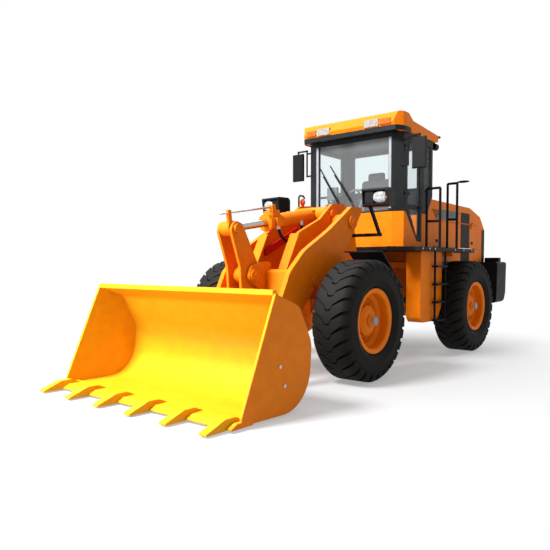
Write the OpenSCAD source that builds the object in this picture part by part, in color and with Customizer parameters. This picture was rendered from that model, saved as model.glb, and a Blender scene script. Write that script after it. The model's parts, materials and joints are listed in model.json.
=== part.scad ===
// Articulated wheel loader with a reversing-link bucket arm.
// Inside the modules x runs forward from the front axle, y to the machine's left and z up from the
// ground.
// place() then moves everything so that the origin is on the ground below the middle of the machine.

/* [Machine] */
// Distance between the axles
wheelbase = 2850; // [2700:10:3000]
// Distance between the middles of the left and right tyres
track = 1850; // [1800:10:1950]
// From the front axle to the tips of the bucket teeth
front_reach = 2520; // [2460:10:2640]
// From the front axle to the tail of the counterweight
rear_reach = 4580; // [4500:10:4800]

/* [Wheels] */
// Outside diameter over the lugs
tyre_d = 1310; // [1290:5:1330]
// Width of the tyre
tyre_w = 440; // [410:5:450]
// Diameter over the rim flange
rim_d = 700; // [680:5:720]
// Diameter of the hub at the end of the axle
hub_d = 330; // [300:5:340]

/* [Bucket] */
// Width over the side plates
bucket_w = 2500; // [2400:10:2600]
// From the hinge pin to the tips of the teeth
bucket_depth = 1310; // [1290:5:1340]
// From the hinge pin to the top of the lip
bucket_h = 770; // [740:5:800]
// Thickness of the bucket's wrapper plate
bucket_wall = 22; // [16:1:28]
// Thickness of the bucket's side plates
bucket_side = 26; // [20:1:32]
// Number of teeth
teeth = 6; // [5:1:8]
// Width of one tooth
tooth_w = 84; // [70:2:100]

/* [Lift arm] */
// Height of the arm's rear pins above the ground
boom_pin_z = 1760; // [1730:5:1790]
// Thickness of each arm plate
arm_t = 60; // [45:1:70]
// Distance between the middles of the two arms
arm_spread = 940; // [920:5:960]
// Radius of the lift arm and bucket pins
pin_r = 36; // [30:1:40]
// Length of the lever above its pivot
lever_top = 524; // [500:2:540]

/* [Cylinders] */
// Outside diameter of the lift cylinders
lift_d = 130; // [110:2:136]
// Outside diameter of the tilt cylinder
tilt_d = 170; // [150:2:180]
// Outside diameter of the steering cylinders
steer_d = 84; // [70:2:90]
// Diameter of the lift rods
lift_rod_d = 70; // [55:1:76]
// Diameter of the tilt rod
tilt_rod_d = 80; // [65:1:86]
// Diameter of the steering rods
steer_rod_d = 44; // [36:1:50]

/* [Cab] */
// Height of the cab roof above the ground
roof_z = 3180; // [3120:10:3240]
// Width over the cab's side walls
cab_w = 1480; // [1440:10:1520]
// Thickness of the cab's walls and doors
cab_wall = 40; // [30:1:46]
// Thickness of the window glass
glass_t = 8; // [6:1:10]

/* [Hood] */
// Width of the engine hood
hood_w = 1240; // [1180:10:1260]
// Thickness of the hood's sheet
hood_t = 20; // [12:1:24]
// Height of the hood's top edge at its front
hood_top = 2190; // [2150:10:2220]

/* [Hidden] */
$fn = 64;
// Running clearance of pins and rods in their bores
fit = 0.05;
// Clear gap between pieces that pass each other
gap = 8;
// Gap between curved faces that only meet
touch = 0.3;

half_track = track / 2;
wheel_z = tyre_d / 2;
pivot_x = -wheelbase / 2;
rear_x = -wheelbase;
place_x = (rear_reach - front_reach) / 2;

// Pins of the arm, seen from the side, as [x, z]
bucket_pin = [front_reach - bucket_depth, 285];
boom_pin = [-470, boom_pin_z];
// A share of the way from the front axle to the bucket pin
function ahead(t) = t * bucket_pin[0];
lever_pin = [ahead(0.719), 1150];
lever_tilt = 24;
tilt_pin = lever_pin + lever_top * [sin(lever_tilt), cos(lever_tilt)];
link_rear = [ahead(0.7231), 520];
link_front = bucket_pin + [40, 355];
tilt_base = [-400, 1865];
lift_base = [-760, 1020];
lift_eye = [ahead(0.2149), 1080];

// Places across the machine
arm_y = arm_spread / 2;
arm_in = arm_y - arm_t / 2;
arm_out = arm_y + arm_t / 2;
tower_in = 225;
tower_out = 265;
lift_y = (tower_out + arm_in) / 2;
lever_gap = 76;
lever_t = 32;
link_half = lever_gap - gap;

// Outlines

function unit(v) = v / norm(v);

// The corner at b between a and c, rounded by b's third value where it has one
function corner(a, b, c, steps) =
    let (p = [b[0], b[1]],
        u = unit([a[0], a[1]] - p),
        v = unit([c[0], c[1]] - p))
    len(b) < 3 || b[2] == 0 || abs(u * v) > 0.999 ? [p] :
    let (half = acos(u * v) / 2,
        centre = p + unit(u + v) * b[2] / sin(half),
        s = p + u * b[2] / tan(half) - centre,
        e = p + v * b[2] / tan(half) - centre,
        from = atan2(s[1], s[0]),
        turn = (atan2(e[1], e[0]) - from + 540) % 360 - 180)
    [for (k = [0:steps]) centre + b[2] * [cos(from + turn * k / steps), sin(from + turn * k / steps)]];

// A closed outline of [x, y, radius] corners
function rounded(p, steps = 6) =
    [for (i = [0:len(p) - 1])
        each corner(p[(i + len(p) - 1) % len(p)], p[i], p[(i + 1) % len(p)], steps)];

// A side view outline, extruded from y0 to y1
module side_plate(outline, y0, y1) {
    translate([0, y1, 0]) rotate([90, 0, 0]) linear_extrude(y1 - y0) polygon(outline);
}

// A front view outline of [y, z], extruded from x0 to x1
module cross_plate(outline, x0, x1) {
    translate([x0, 0, 0]) rotate([90, 0, 90]) linear_extrude(x1 - x0) polygon(outline);
}

module box(x0, x1, y0, y1, z0, z1) {
    translate([x0, y0, z0]) cube([x1 - x0, y1 - y0, z1 - z0]);
}

// A round bar across the machine at p = [x, z]
module cross_pin(p, y0, y1, r) {
    translate([p[0], y1, p[1]]) rotate([90, 0, 0]) cylinder(r = r, h = y1 - y0);
}

module both() {
    children();
    mirror([0, 1, 0]) children();
}

// Children drawn along +x are laid from p towards q, in the side view, at y
module along(p, q, y = 0) {
    translate([p[0], y, p[1]]) rotate([0, -atan2(q[1] - p[1], q[0] - p[0]), 0]) children();
}

module place() {
    translate([place_x, 0, 0]) children();
}

// Wheels

tread_r = tyre_d / 2;
shoulder_r = tread_r - 42;
bead_r = rim_d / 2 - 18;

lugs = 18;
groove_w = 26;
groove_deep = 34;

// Cuts between the lugs of one shoulder, around the wheel's own axis
module grooves() {
    half = tyre_w / 2;
    for (i = [0:lugs - 1]) rotate([0, 0, i * 360 / lugs])
        translate([tread_r - groove_deep, 0, half - 90])
        rotate([-38, 0, 0]) translate([0, -groove_w / 2, -90]) cube([groove_deep * 2, groove_w, 260]);
}

module tyre(x, side) {
    half = tyre_w / 2;
    color("#262626")
    translate([x, side * half_track, wheel_z]) rotate([90, 0, 0]) difference() {
        rotate_extrude() polygon(rounded([[bead_r, -half + 55], [rim_d / 2 + 4, -half + 55],
            [rim_d / 2 + 34, -half + 24], [rim_d / 2 + 110, -half, 60], [shoulder_r, -half + 14, 30],
            [tread_r, -half + 62], [tread_r, half - 62], [shoulder_r, half - 14, 30],
            [rim_d / 2 + 110, half, 60], [rim_d / 2 + 34, half - 24], [rim_d / 2 + 4, half - 55],
            [bead_r, half - 55]], 2));
        grooves();
        rotate([0, 0, 180 / lugs]) mirror([0, 0, 1]) grooves();
    }
}

spindle_r = 95;
spindle_l = 150;
hub_face = half_track - 118;
rim_out = tyre_w / 2 - 55;

// Rim, disc and planetary hub, drawn for the left side with the outside towards +y
module rim(x, side) {
    color("#d87a16")
    translate([x, side * half_track, wheel_z]) rotate([side > 0 ? -90 : 90, 0, 0]) difference() {
        rotate_extrude() polygon(concat(
            [[0, 128], [62, 128], [62, 112], [118, 112], [hub_d / 2, 84], [hub_d / 2, 8], [248, 8],
                [262, 40], [bead_r - 34, 70], [bead_r - 34, rim_out - 6], [rim_d / 2 - 46, rim_out + 6],
                [rim_d / 2, rim_out + 18], [rim_d / 2, rim_out + touch]],
            [[bead_r - touch, rim_out + touch], [bead_r - touch, -rim_out - touch],
                [rim_d / 2, -rim_out - touch],
                [rim_d / 2, -rim_out - 18], [bead_r - 22, -rim_out - 18], [bead_r - 22, 40], [280, 18],
                [255, -18], [hub_d / 2, -18], [hub_d / 2, -118], [0, -118]]));
        translate([0, 0, -118 - 1]) cylinder(r = spindle_r + fit, h = spindle_l + 1);
    }
}

// Axle housing with its differential and the spindles that carry the wheels
module axle(x) {
    color("#c8690f") translate([x, 0, wheel_z]) union() {
        rotate([90, 0, 0]) rotate_extrude() polygon([[0, -hub_face - spindle_l + touch],
            [spindle_r, -hub_face - spindle_l + touch], [spindle_r, -hub_face + touch],
                [150, -hub_face + touch],
            [150, -hub_face + 40], [112, -hub_face + 60], [112, -300], [205, -150], [205, 150],
                [112, 300],
            [112, hub_face - 60], [150, hub_face - 40], [150, hub_face - touch],
                [spindle_r, hub_face - touch],
            [spindle_r, hub_face + spindle_l - touch], [0, hub_face + spindle_l - touch]]);
        children();
    }
}

axle_pad = 250;
axle_pad_half = 70;
axle_top = wheel_z + 215;

module axle_pads(top) {
    both() box(-110, 110, axle_pad - axle_pad_half, axle_pad + axle_pad_half, 0, top - wheel_z);
}

module front_axle() {
    axle(0) {
        axle_pads(axle_top);
        translate([-330, 0, 0]) rotate([0, 90, 0]) cylinder(r1 = 70, r2 = 150, h = 330);
    }
}

module rear_axle() {
    axle(rear_x) {
        axle_pads(rear_frame_low);
        rotate([0, 90, 0]) cylinder(r1 = 150, r2 = 70, h = 330);
    }
}

// Front frame

joint_pin_r = 45;
ear_r = 120;
ear_t = 50;
upper_ear = 1130;
lower_ear = 520;
front_frame_low = axle_top;

// Front edge of the towers, from its foot to its top
tower_nose = [[520, 1120, 30], [250, 1620, 60]];

module tower_plate() {
    side_plate(rounded([[pivot_x + 180, lower_ear, 40], [-420, lower_ear, 60], [-200, front_frame_low,
        60],
        [330, front_frame_low, 40], [430, 980, 60], tower_nose[0], tower_nose[1], [-150, 1790, 120],
        [tilt_base[0], tilt_base[1] + 120, 60], [-660, 2010, 80], [-890, 1760, 80], [-975, 1300, 80],
        [pivot_x + 180, upper_ear + ear_t, 40]]), tower_in, tower_out);
}

module front_ear(z) {
    difference() {
        union() {
            translate([pivot_x, 0, z]) cylinder(r = ear_r, h = ear_t);
            box(pivot_x, pivot_x + 460, -ear_r, ear_r, z, z + ear_t);
            box(pivot_x + 200, pivot_x + 460, -tower_out, tower_out, z, z + ear_t);
        }
        translate([pivot_x, 0, z - 1]) cylinder(r = joint_pin_r + fit, h = ear_t + 2);
    }
}

steer_front = [pivot_x + 400, 450];
steer_base = [pivot_x - 850, 470];
steer_z = 760;
steer_eye_h = 60;

module front_frame() {
    color("#d9780f") union() {
        both() {
            tower_plate();
            // Boss that carries the arm's rear pin
            cross_pin(boom_pin, tower_out - 1, arm_in - gap, 100);
            cross_pin(boom_pin, tower_out, arm_out + 40, pin_r);
            cross_pin(boom_pin, arm_out + gap, arm_out + 26, 80);
            // Lugs of the lift cylinder
            cross_pin(lift_base, tower_out - 1, lift_y - 46 - gap, 80);
            cross_pin(lift_base, tower_out, lift_y + 62, pin_r);
            cross_pin(lift_base, lift_y + 48, lift_y + 62, 56);
            // Lug of the steering cylinder
            for (z = [steer_z - 92, steer_z + 62]) {
                translate([steer_front[0], steer_front[1], z]) cylinder(r = 62, h = 30);
                box(steer_front[0] - 62, steer_front[0] + 62, tower_in, steer_front[1], z, z + 30);
            }
        }
        front_ear(upper_ear);
        front_ear(lower_ear);
        // Floor over the axle, rear wall, sloped nose and top bridge between the towers
        box(-200, 330, -tower_in - 1, tower_in + 1, front_frame_low, front_frame_low + 30);
        box(-980, -200, -tower_in - 1, tower_in + 1, lower_ear, lower_ear + 30);
        box(-930, -900, -tower_in - 1, tower_in + 1, lower_ear, 1500);
        both() side_plate([[330, front_frame_low], [430, 980], [395, 980], [300, front_frame_low]],
            120, tower_in + 1);
        // Flange along the towers' front edge
        both() translate([tower_nose[0][0], 0, tower_nose[0][1]])
            rotate([0, -atan2(tower_nose[1][1] - tower_nose[0][1],
                tower_nose[1][0] - tower_nose[0][0]), 0])
                box(24, 540, 170, 292, -26, 6);
        cross_pin(tilt_base, -tower_out - 24, tower_out + 24, 50);
    }
}

fender_top = tyre_d + 85;
fender_in = 600;
fender_out = 1040;
fender_t = 14;

module front_fenders() {
    color("#1c1c1c") both() union() {
        side_plate([[-150, fender_top], [-250, fender_top], [-740, 980], [-740 - fender_t, 980],
            [-250 - 8, fender_top + fender_t], [-150, fender_top + fender_t]], fender_in, fender_out);
        // Bracket back to the frame
        box(-700, -640, tower_out + touch, fender_in + 1, 840, 870);
        box(-700, -640, fender_in, fender_in + 20, 840, 1100);
    }
}

lamp_c = [-580, 787, 2040];
lamp_half = [165, 105];
stalk_x = -800;

module headlamps() {
    color("#1a1a1a") both() union() {
        difference() {
            translate(lamp_c) rotate([0, 0, 8]) side_plate(rounded([[-120, -lamp_half[1], 40],
                [70, -lamp_half[1], 20], [100, lamp_half[1], 20], [-120, lamp_half[1], 50]]),
                -lamp_half[0], lamp_half[0]);
            translate(lamp_c + [86, 0, 0]) rotate([0, 0, 8])
                box(-50, 60, 27 - lamp_half[0], lamp_half[0] - 27, 31 - lamp_half[1], lamp_half[1] - 29);
        }
        // Stalk from the tower
        box(stalk_x - 20, stalk_x + 20, tower_out + touch, 710, 1600, 1640);
        translate([stalk_x, 670, 1620])
            rotate([0, atan2(lamp_c[0] - stalk_x, lamp_c[2] - lamp_half[1] - 1620), 0])
                box(-18, 18, 3, 35, 4, 415);
    }
}

// Lift arm

module arm_outline_plate() {
    side_plate(rounded([[-726, 1950, 30], [-470, 1945, 60], [-20, 1655, 200], [ahead(0.372), 1405, 300],
        [ahead(0.5785), 1180, 200], [ahead(0.7107), 860, 260],
            [bucket_pin[0] + 30, bucket_pin[1] + 130, 60],
        [bucket_pin[0] + 110, bucket_pin[1] - 10, 70], [bucket_pin[0] - 20, bucket_pin[1] - 110, 80],
        [bucket_pin[0] - 190, bucket_pin[1] - 30, 60], [ahead(0.529), 640, 200],
            [ahead(0.248), 960, 200],
        [-248, 1287, 60]]), arm_in, arm_out);
}

// Box beam between the arms, from x0 to x1
beam_x = [ahead(0.496), ahead(0.566)];

module boom() {
    color("#d9780f") union() {
        both() {
            difference() {
                union() {
                    arm_outline_plate();
                    cross_pin(bucket_pin, arm_in - 30, arm_out + 30, 95);
                    cross_pin(lift_eye, lift_y + 46 + gap, arm_in + 1, 80);
                }
                cross_pin(boom_pin, arm_in - 1, arm_out + 1, pin_r + fit);
                cross_pin(bucket_pin, arm_in - 40, arm_out + 40, pin_r + fit);
            }
            // Stub of the lift cylinder's pin
            cross_pin(lift_eye, arm_out - 1, arm_out + 22, 56);
            // Bracket of the lever
            difference() {
                side_plate(rounded([[beam_x[0] + 10, 980, 10], [beam_x[1] + 20, 935, 30],
                    [lever_pin[0] + 90, lever_pin[1] - 30, 60], [lever_pin[0] + 40, lever_pin[1] + 95,
                        70],
                    [lever_pin[0] - 90, lever_pin[1] + 130, 40], [beam_x[0] + 10, 1290, 20]]),
                    lever_gap + lever_t + gap, lever_gap + lever_t + gap + 40);
                cross_pin(lever_pin, 0, 400, 48 + fit);
            }
        }
        side_plate(rounded([[beam_x[0], 960, 20], [beam_x[1], 930, 20], [beam_x[1], 1190, 20],
            [beam_x[0], 1215, 20]]), -arm_in - 1, arm_in + 1);
    }
}

// Lever of two plates on one hub, between the tilt rod and the bucket's link
module bell_crank() {
    hub_end = lever_gap + lever_t + gap + 40 + 22;
    color("#dc7d12") union() {
        both() side_plate(rounded([[link_rear[0] - 90, link_rear[1] - 20, 60],
            [link_rear[0], link_rear[1] - 95, 60],
            [link_rear[0] + 90, link_rear[1], 60], [lever_pin[0] + 150, lever_pin[1] - 60, 120],
            [lever_pin[0] + 160, lever_pin[1] + 90, 120], [tilt_pin[0] + 80, tilt_pin[1] - 20, 60],
            [tilt_pin[0] + 30, tilt_pin[1] + 85, 60], [tilt_pin[0] - 85, tilt_pin[1] + 50, 60],
            [lever_pin[0] - 140, lever_pin[1] + 60, 120], [lever_pin[0] - 130, lever_pin[1] - 90, 120]]),
            lever_gap, lever_gap + lever_t);
        cross_pin(lever_pin, -lever_gap - lever_t, lever_gap + lever_t, 90);
        cross_pin(lever_pin, -hub_end, hub_end, 48);
        both() cross_pin(lever_pin, hub_end - 14, hub_end, 70);
        // Pin ends outside the plates
        both() cross_pin(tilt_pin, lever_gap + lever_t - 1, lever_gap + lever_t + 26, 46);
        both() cross_pin(link_rear, lever_gap + lever_t - 1, lever_gap + lever_t + 26, 46);
    }
}

module eye(r, bore, half) {
    difference() {
        cross_pin([0, 0], -half, half, r);
        cross_pin([0, 0], -half - 1, half + 1, bore);
    }
}

module bucket_link() {
    reach = norm(link_front - link_rear);
    color("#d9780f") along(link_front, link_rear) difference() {
        union() {
            cross_pin([0, 0], -link_half, link_half, 78);
            cross_pin([reach, 0], -link_half, link_half, 74);
            box(0, reach, -link_half + 12, link_half - 12, -56, 56);
        }
        cross_pin([0, 0], -link_half - 1, link_half + 1, pin_r + fit);
        cross_pin([reach, 0], -link_half - 1, link_half + 1, pin_r + 10);
    }
}

// Bucket, in its own place around the hinge pin

lip_z = bucket_pin[1] + bucket_h;
back_x = bucket_pin[0] + 122;
floor_z = 22;
edge_x = front_reach - 240;
shell_half = bucket_w / 2 - bucket_side;

function bucket_line(d) = rounded([[edge_x, floor_z + d], [back_x + 40 + d, floor_z + d, 360 - d],
    [back_x + d, floor_z + 560, 200], [back_x + 170 + d, lip_z - 150, 120],
        [back_x + 480, lip_z - 20 - d]], 10);

module bucket() {
    ear_w = 26;
    color("#e8890f") union() {
        // Wrapper plate
        side_plate(concat([for (p = bucket_line(0)) p],
            [for (i = [len(bucket_line(bucket_wall)) - 1:-1:0]) bucket_line(bucket_wall)[i]]),
            -shell_half, shell_half);
        // Side plates
        both() side_plate(concat([[edge_x - 70, floor_z + 10], [edge_x - 70, floor_z + 70]],
            [[back_x + 480, lip_z - 30]], [for (i = [len(bucket_line(0)) - 2:-1:1]) bucket_line(0)[i]]),
            shell_half - 1, shell_half + bucket_side);
        // Lip and cutting edge
        box(back_x + 440, back_x + 490, -shell_half - 1, shell_half + 1, lip_z - 45, lip_z);
        side_plate([[edge_x - 190, floor_z - 2], [edge_x + 40, floor_z - 2], [edge_x + 40, floor_z + 10],
            [edge_x - 20, floor_z + 40], [edge_x - 190, floor_z + 40]], -bucket_w / 2, bucket_w / 2);
        // Ears for the arm and the link
        difference() {
            both() {
                for (y = [arm_in - 30 - gap - ear_w, arm_out + 30 + gap]) hinge_ear(y, y + ear_w,
                    bucket_pin, 110);
                hinge_ear(lever_gap + 4, lever_gap + 4 + ear_w, link_front, 92);
            }
            side_plate(bucket_line(bucket_wall - 4), -bucket_w, bucket_w);
        }
        both() {
            cross_pin(bucket_pin, arm_in - 30 - gap - ear_w - 16, arm_out + 30 + gap + ear_w + 16,
                pin_r);
            cross_pin(link_front, lever_gap + 3 + ear_w, lever_gap + 4 + ear_w + 22, 46);
        }
        cross_pin(link_front, -lever_gap - 4 - ear_w, lever_gap + 4 + ear_w, pin_r);
    }
}

module hinge_ear(y0, y1, p, r) {
    union() {
        cross_pin(p, y0, y1, r);
        side_plate([[p[0], p[1] - r], [back_x + 200, p[1] - r - 30], [back_x + 200, p[1] + r + 30],
            [p[0], p[1] + r]], y0, y1);
    }
}

tooth_span = bucket_w - 2 * 60 - tooth_w;

module bucket_teeth() {
    color("#c9740f") for (i = [0:teeth - 1])
        translate([0, -tooth_span / 2 + i * tooth_span / (teeth - 1), 0])
            side_plate([[edge_x - 150, floor_z + 40 + touch], [edge_x - 60, floor_z + 78],
                [edge_x + 50, floor_z + 78], [front_reach, floor_z + 8],
                [front_reach, floor_z - 8], [edge_x + 40 + touch, floor_z - 8], [edge_x + 40 + touch,
                    floor_z + 10 + touch],
                [edge_x - 20, floor_z + 40 + touch]],
                -tooth_w / 2, tooth_w / 2);
}

// Cylinders, drawn along +x from the base pin

module barrel(d, rod_d, bore, l, half) {
    gland = 60;
    difference() {
        union() {
            cross_pin([0, 0], -half, half, d * 0.55);
            box(0, d * 0.8, -min(half, d * 0.4), min(half, d * 0.4), -d * 0.4, d * 0.4);
            translate([d * 0.76, 0, 0]) rotate([0, 90, 0])
                cylinder(r = d / 2, h = l - gland / 2 - d * 0.76);
            translate([l - gland, 0, 0]) rotate([0, 90, 0]) cylinder(r = d / 2 + 14, h = gland);
        }
        cross_pin([0, 0], -half - d, half + d, bore + fit);
        translate([d * 0.55 + 26, 0, 0]) rotate([0, 90, 0]) cylinder(r = rod_d / 2 + touch, h = l);
    }
}

// A rod whose eye is at x = reach
module rod(d, reach, length, eye_r, half, bore) {
    difference() {
        union() {
            translate([reach - length, 0, 0]) rotate([0, 90, 0])
                cylinder(r = d / 2, h = length - eye_r / 2);
            cross_pin([reach, 0], -half, half, eye_r);
        }
        cross_pin([reach, 0], -half - 1, half + 1, bore);
    }
}

tilt_reach = norm(tilt_pin - tilt_base);
tilt_l = tilt_reach * 0.62;
lift_reach = norm(lift_eye - lift_base);
lift_l = lift_reach * 0.91;
steer_reach = norm(steer_front - steer_base);
steer_l = 740;

hose_r = 15;
hose_bend = 220;

module tilt_barrel() {
    color("#d9780f") along(tilt_base, tilt_pin) union() {
        barrel(tilt_d, tilt_rod_d, 50, tilt_l, tower_in - gap);
        // Valve block on the head, and the hose that hangs between it and the base
        box(tilt_l - 190, tilt_l - 70, -70, 70, 40, tilt_d / 2 + 40);
        box(tilt_l - 180, tilt_l - 80, 40, tilt_d / 2 + 30, -50, 50);
        translate([tilt_l - 130 - hose_bend, tilt_d / 2 - 16, -40]) rotate([-90, 0, 0])
            rotate_extrude(angle = 180) translate([hose_bend, 0]) circle(r = hose_r, $fn = 24);
    }
}

module tilt_rod() {
    color("#c9cdd0") along(tilt_base, tilt_pin) rod(tilt_rod_d, tilt_reach, tilt_reach * 0.7325, 78,
        link_half, 46 + 6);
}

module lift_barrel(side) {
    color("#d9780f") along(lift_base, lift_eye, side * lift_y) barrel(lift_d, lift_rod_d, pin_r,
        lift_l, 46);
}

module lift_rod(side) {
    color("#c9cdd0") along(lift_base, lift_eye, side * lift_y) rod(lift_rod_d, lift_reach,
        lift_reach * 0.895, 74, 46, pin_r + 6);
}

// Children drawn along +x from the rear lug to the front lug of a steering cylinder
module along_steering(side) {
    mirror([0, side > 0 ? 0 : 1, 0]) translate([steer_base[0], steer_base[1], steer_z])
        rotate([0, 0, atan2(steer_front[1] - steer_base[1], steer_front[0] - steer_base[0])])
            rotate([90, 0, 0]) children();
}

module steer_barrel(side) {
    color("#2a2a2a") along_steering(side) barrel(steer_d, steer_rod_d, 30, steer_l, 52);
}

module steer_rod(side) {
    color("#c9cdd0") along_steering(side) rod(steer_rod_d, steer_reach, 876, 52, 52, 30 + 6);
}

// Rear frame

rear_frame_low = wheel_z + 215;
beam_in = 250;
beam_out = 290;
// Kept behind the sweep of the steering cylinders
beam_front = pivot_x - 340;
rail_in = 350;
rail_out = 390;
rear_ear_gap = 12;
deck_arm = 60;
engine_rear = -rear_reach + 730;

module rear_ear(z) {
    translate([pivot_x, 0, z]) cylinder(r = ear_r, h = ear_t);
    box(pivot_x - 460, pivot_x, -ear_r, ear_r, z, z + ear_t);
    box(pivot_x - 460, pivot_x - 200, -beam_out, beam_out, z, z + ear_t);
}

module rear_frame() {
    color("#d9780f") union() {
        both() {
            side_plate(rounded([[beam_front, lower_ear - 60, 40], [pivot_x - 700, lower_ear - 60, 60],
                [pivot_x - 1000, rear_frame_low, 80], [pivot_x - 1060, rear_frame_low],
                    [pivot_x - 1060, beam_top],
                [beam_front, beam_top, 60]]), beam_in, beam_out);
            side_plate(rounded([[pivot_x - 980, rear_frame_low, 20], [rear_x - 300, rear_frame_low,
                60], [rear_x - 420, 760, 60],
                [-rear_reach + 430, 760, 40], [-rear_reach + 430, 1180, 20], [pivot_x - 980, 1180,
                    20]]), rail_in, rail_out);
            // Lug of the steering cylinder
            for (z = [steer_z - 92, steer_z + 62]) {
                translate([steer_base[0], steer_base[1], z]) cylinder(r = 56, h = 30);
                box(steer_base[0] - 90, steer_base[0] + 56, beam_in, steer_base[1], z, z + 30);
            }
            translate([steer_base[0], steer_base[1], steer_z - 100]) cylinder(r = 30, h = 200);
        }
        // Ledges below the hood and brackets below the deck
        both() {
            for (x = [engine_rear, rear_x + 330]) box(x, x + 120, rail_in, hood_w / 2, 1120, hood_low);
            box(pivot_x - 1060, pivot_x - 960, rail_in, tank_in, 1120, 1180);
            box(pivot_x - 1060, pivot_x - 1000, hood_w / 2 + gap, tank_in, 1120, deck_low);
            box(pivot_x - 1060, pivot_x - 1000, hood_w / 2 + gap, deck_out - 90, deck_low - deck_arm,
                deck_low);
            box(pivot_x - 420, pivot_x - 340, beam_in, tank_in - touch, beam_top - 80, beam_top);
            box(pivot_x - 420, pivot_x - 340, hood_w / 2 + gap, tank_in - touch, beam_top - 80,
                deck_low);
        }
        rear_ear(upper_ear + ear_t + rear_ear_gap);
        rear_ear(lower_ear - ear_t - rear_ear_gap);
        translate([pivot_x, 0, lower_ear - ear_t - rear_ear_gap - 30]) cylinder(r = joint_pin_r,
            h = ear_t * 2 + rear_ear_gap + 40);
        translate([pivot_x, 0, upper_ear - 10]) cylinder(r = joint_pin_r,
            h = ear_t * 2 + rear_ear_gap + 40);
        box(pivot_x - 1060, pivot_x - 980, -rail_out, rail_out, rear_frame_low, 1180);
        box(rear_x - 120, rear_x + 120, -rail_in - 1, rail_in + 1, rear_frame_low, rear_frame_low + 60);
        box(-rear_reach + 430, -rear_reach + 470, -rail_in - 1, rail_in + 1, 760, 1180);
    }
}

weight_low = 560;
tow_x = -rear_reach + 190;
tow_pin_r = 27;
tow_bore = 440;

module counterweight() {
    color("#161616") difference() {
        intersection() {
            cross_plate(rounded([[-950, 640, 60], [-620, weight_low, 60], [620, weight_low, 60],
                [950, 640, 60],
                [960, hood_low - touch, 40], [-960, hood_low - touch, 40]]), -rear_reach,
                    -rear_reach + 430 - touch);
            side_plate([[-rear_reach + 430, weight_low - 1], [-rear_reach + 430, hood_low],
                [-rear_reach, hood_low],
                [-rear_reach, 790], [-rear_reach + 110, weight_low - 1]], -1000, 1000);
        }
        // Tow slot and the hole of its pin
        box(-rear_reach - 1, tow_x + 80, -90, 90, 820, 900);
        translate([tow_x, 0, weight_low - 1]) cylinder(r = tow_pin_r, h = tow_bore + 1);
    }
}

// Engine and transmission between the frame rails
module engine() {
    color("#4a4a4a") union() {
        box(engine_rear, rear_x + 60, -300, 300, rear_frame_low + 60 + touch, 1760);
        box(pivot_x - 960, pivot_x - 400, -beam_in + touch, beam_in - touch, 560, 1180);
    }
}

// Tanks hung below the deck on both sides
tank_in = hood_w / 2 + 74;
tank_out = 900;

module tanks() {
    color("#d06f0e") both() union() {
        side_plate(rounded([[pivot_x - 60, 560, 60], [pivot_x - 60, deck_low - touch, 20],
            [pivot_x - 700, deck_low - touch, 20], [pivot_x - 700, 700, 60],
            [pivot_x - 560, 500, 60], [pivot_x - 120, 500, 60]]), tank_in, tank_out);
    }
}

deck_low = 1430;
deck_top = 1490;
deck_out = 1010;
deck_front = pivot_x + 335;
deck_rear = rear_x - 160;

module deck() {
    color("#181818") union() {
        both() {
            box(deck_rear, deck_front, hood_w / 2 + gap, deck_out, deck_low, deck_top - 10);
            box(deck_rear, deck_front, hood_w / 2 + gap, hood_w / 2 + gap + 30, deck_low, deck_top);
        }
        // Plate below the cab
        box(cab_notch_x, cab_front, -hood_w / 2 - gap - 1, hood_w / 2 + gap + 1, deck_low + 10,
            deck_top);
    }
}

ladder_front = pivot_x - 375;
ladder_w = 350;

module ladders() {
    color("#141414") both() union() {
        for (x = [ladder_front, ladder_front - ladder_w + 30])
            translate([x, deck_out - 60, 470]) cylinder(r = 15, h = deck_low - touch - 470);
        for (z = [500, 740, 980, 1220]) box(ladder_front - ladder_w + 30, ladder_front, deck_out - 100,
            deck_out - 20, z, z + 24);
    }
}

rail_r = 17;
rail_top = 2330;

// An upright loop of tube in a plane across the machine
module rail_loop(x, y0, y1, z0, z1) {
    translate([x, y0, z0]) cylinder(r = rail_r, h = z1 - z0);
    translate([x, y1, z0]) cylinder(r = rail_r, h = z1 - z0);
    for (z = [z1, z0 + (z1 - z0) * 0.45]) translate([x, y0, z]) rotate([-90, 0, 0])
        cylinder(r = rail_r, h = y1 - y0);
}

module handrails() {
    color("#141414") both() union() {
        rail_loop(door_clear, cab_w / 2 + 60, deck_out - 20, deck_top - 10 + touch, rail_top - 60);
        rail_loop(hood_door_front + rail_r + gap, cab_w / 2 + 110, deck_out - 20,
            deck_top - 10 + touch, rail_top + 60);
    }
}

// Cab

cab_front = pivot_x + 175;
cab_side_x = cab_front - 60;
cab_rear = pivot_x - 720;
cab_notch_x = pivot_x - 550;
cab_floor = deck_top;
roof_low = roof_z - 230;
screen_half = 600;
sill_z = 1960;
door_front = cab_side_x - 40;
door_rear = door_front - 470;
pillar = 70;

function cab_side_outline(d) = [[cab_front - d, cab_floor + d], [cab_notch_x + d, cab_floor + d],
    [cab_notch_x + d, 1930 + d * 0.4], [cab_rear + d, 2190 + d * 0.4], [cab_rear + d, roof_low - d],
        [cab_front - d, roof_low - d]];

function cab_plan(d) = [[cab_front - d, -screen_half + d * 0.5],
    [cab_front - d, screen_half - d * 0.5], [cab_side_x - d * 0.4, cab_w / 2 - d],
    [cab_rear + d, cab_w / 2 - d], [cab_rear + d, -cab_w / 2 + d], [cab_side_x - d * 0.4,
        -cab_w / 2 + d]];

module cab_block(d) {
    intersection() {
        side_plate(cab_side_outline(d), -cab_w, cab_w);
        translate([0, 0, cab_floor - 10]) linear_extrude(roof_low - cab_floor + 20) polygon(cab_plan(d));
    }
}

// Opening of the door, as a side view outline
function door_outline(d) = [[door_front - d, 1950 + d * 0.4], [door_front - 330, 1560 + d],
    [door_rear + d, 1560 + d],
    [door_rear + d, roof_low - 60 - d], [door_front - d, roof_low - 60 - d]];

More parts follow.
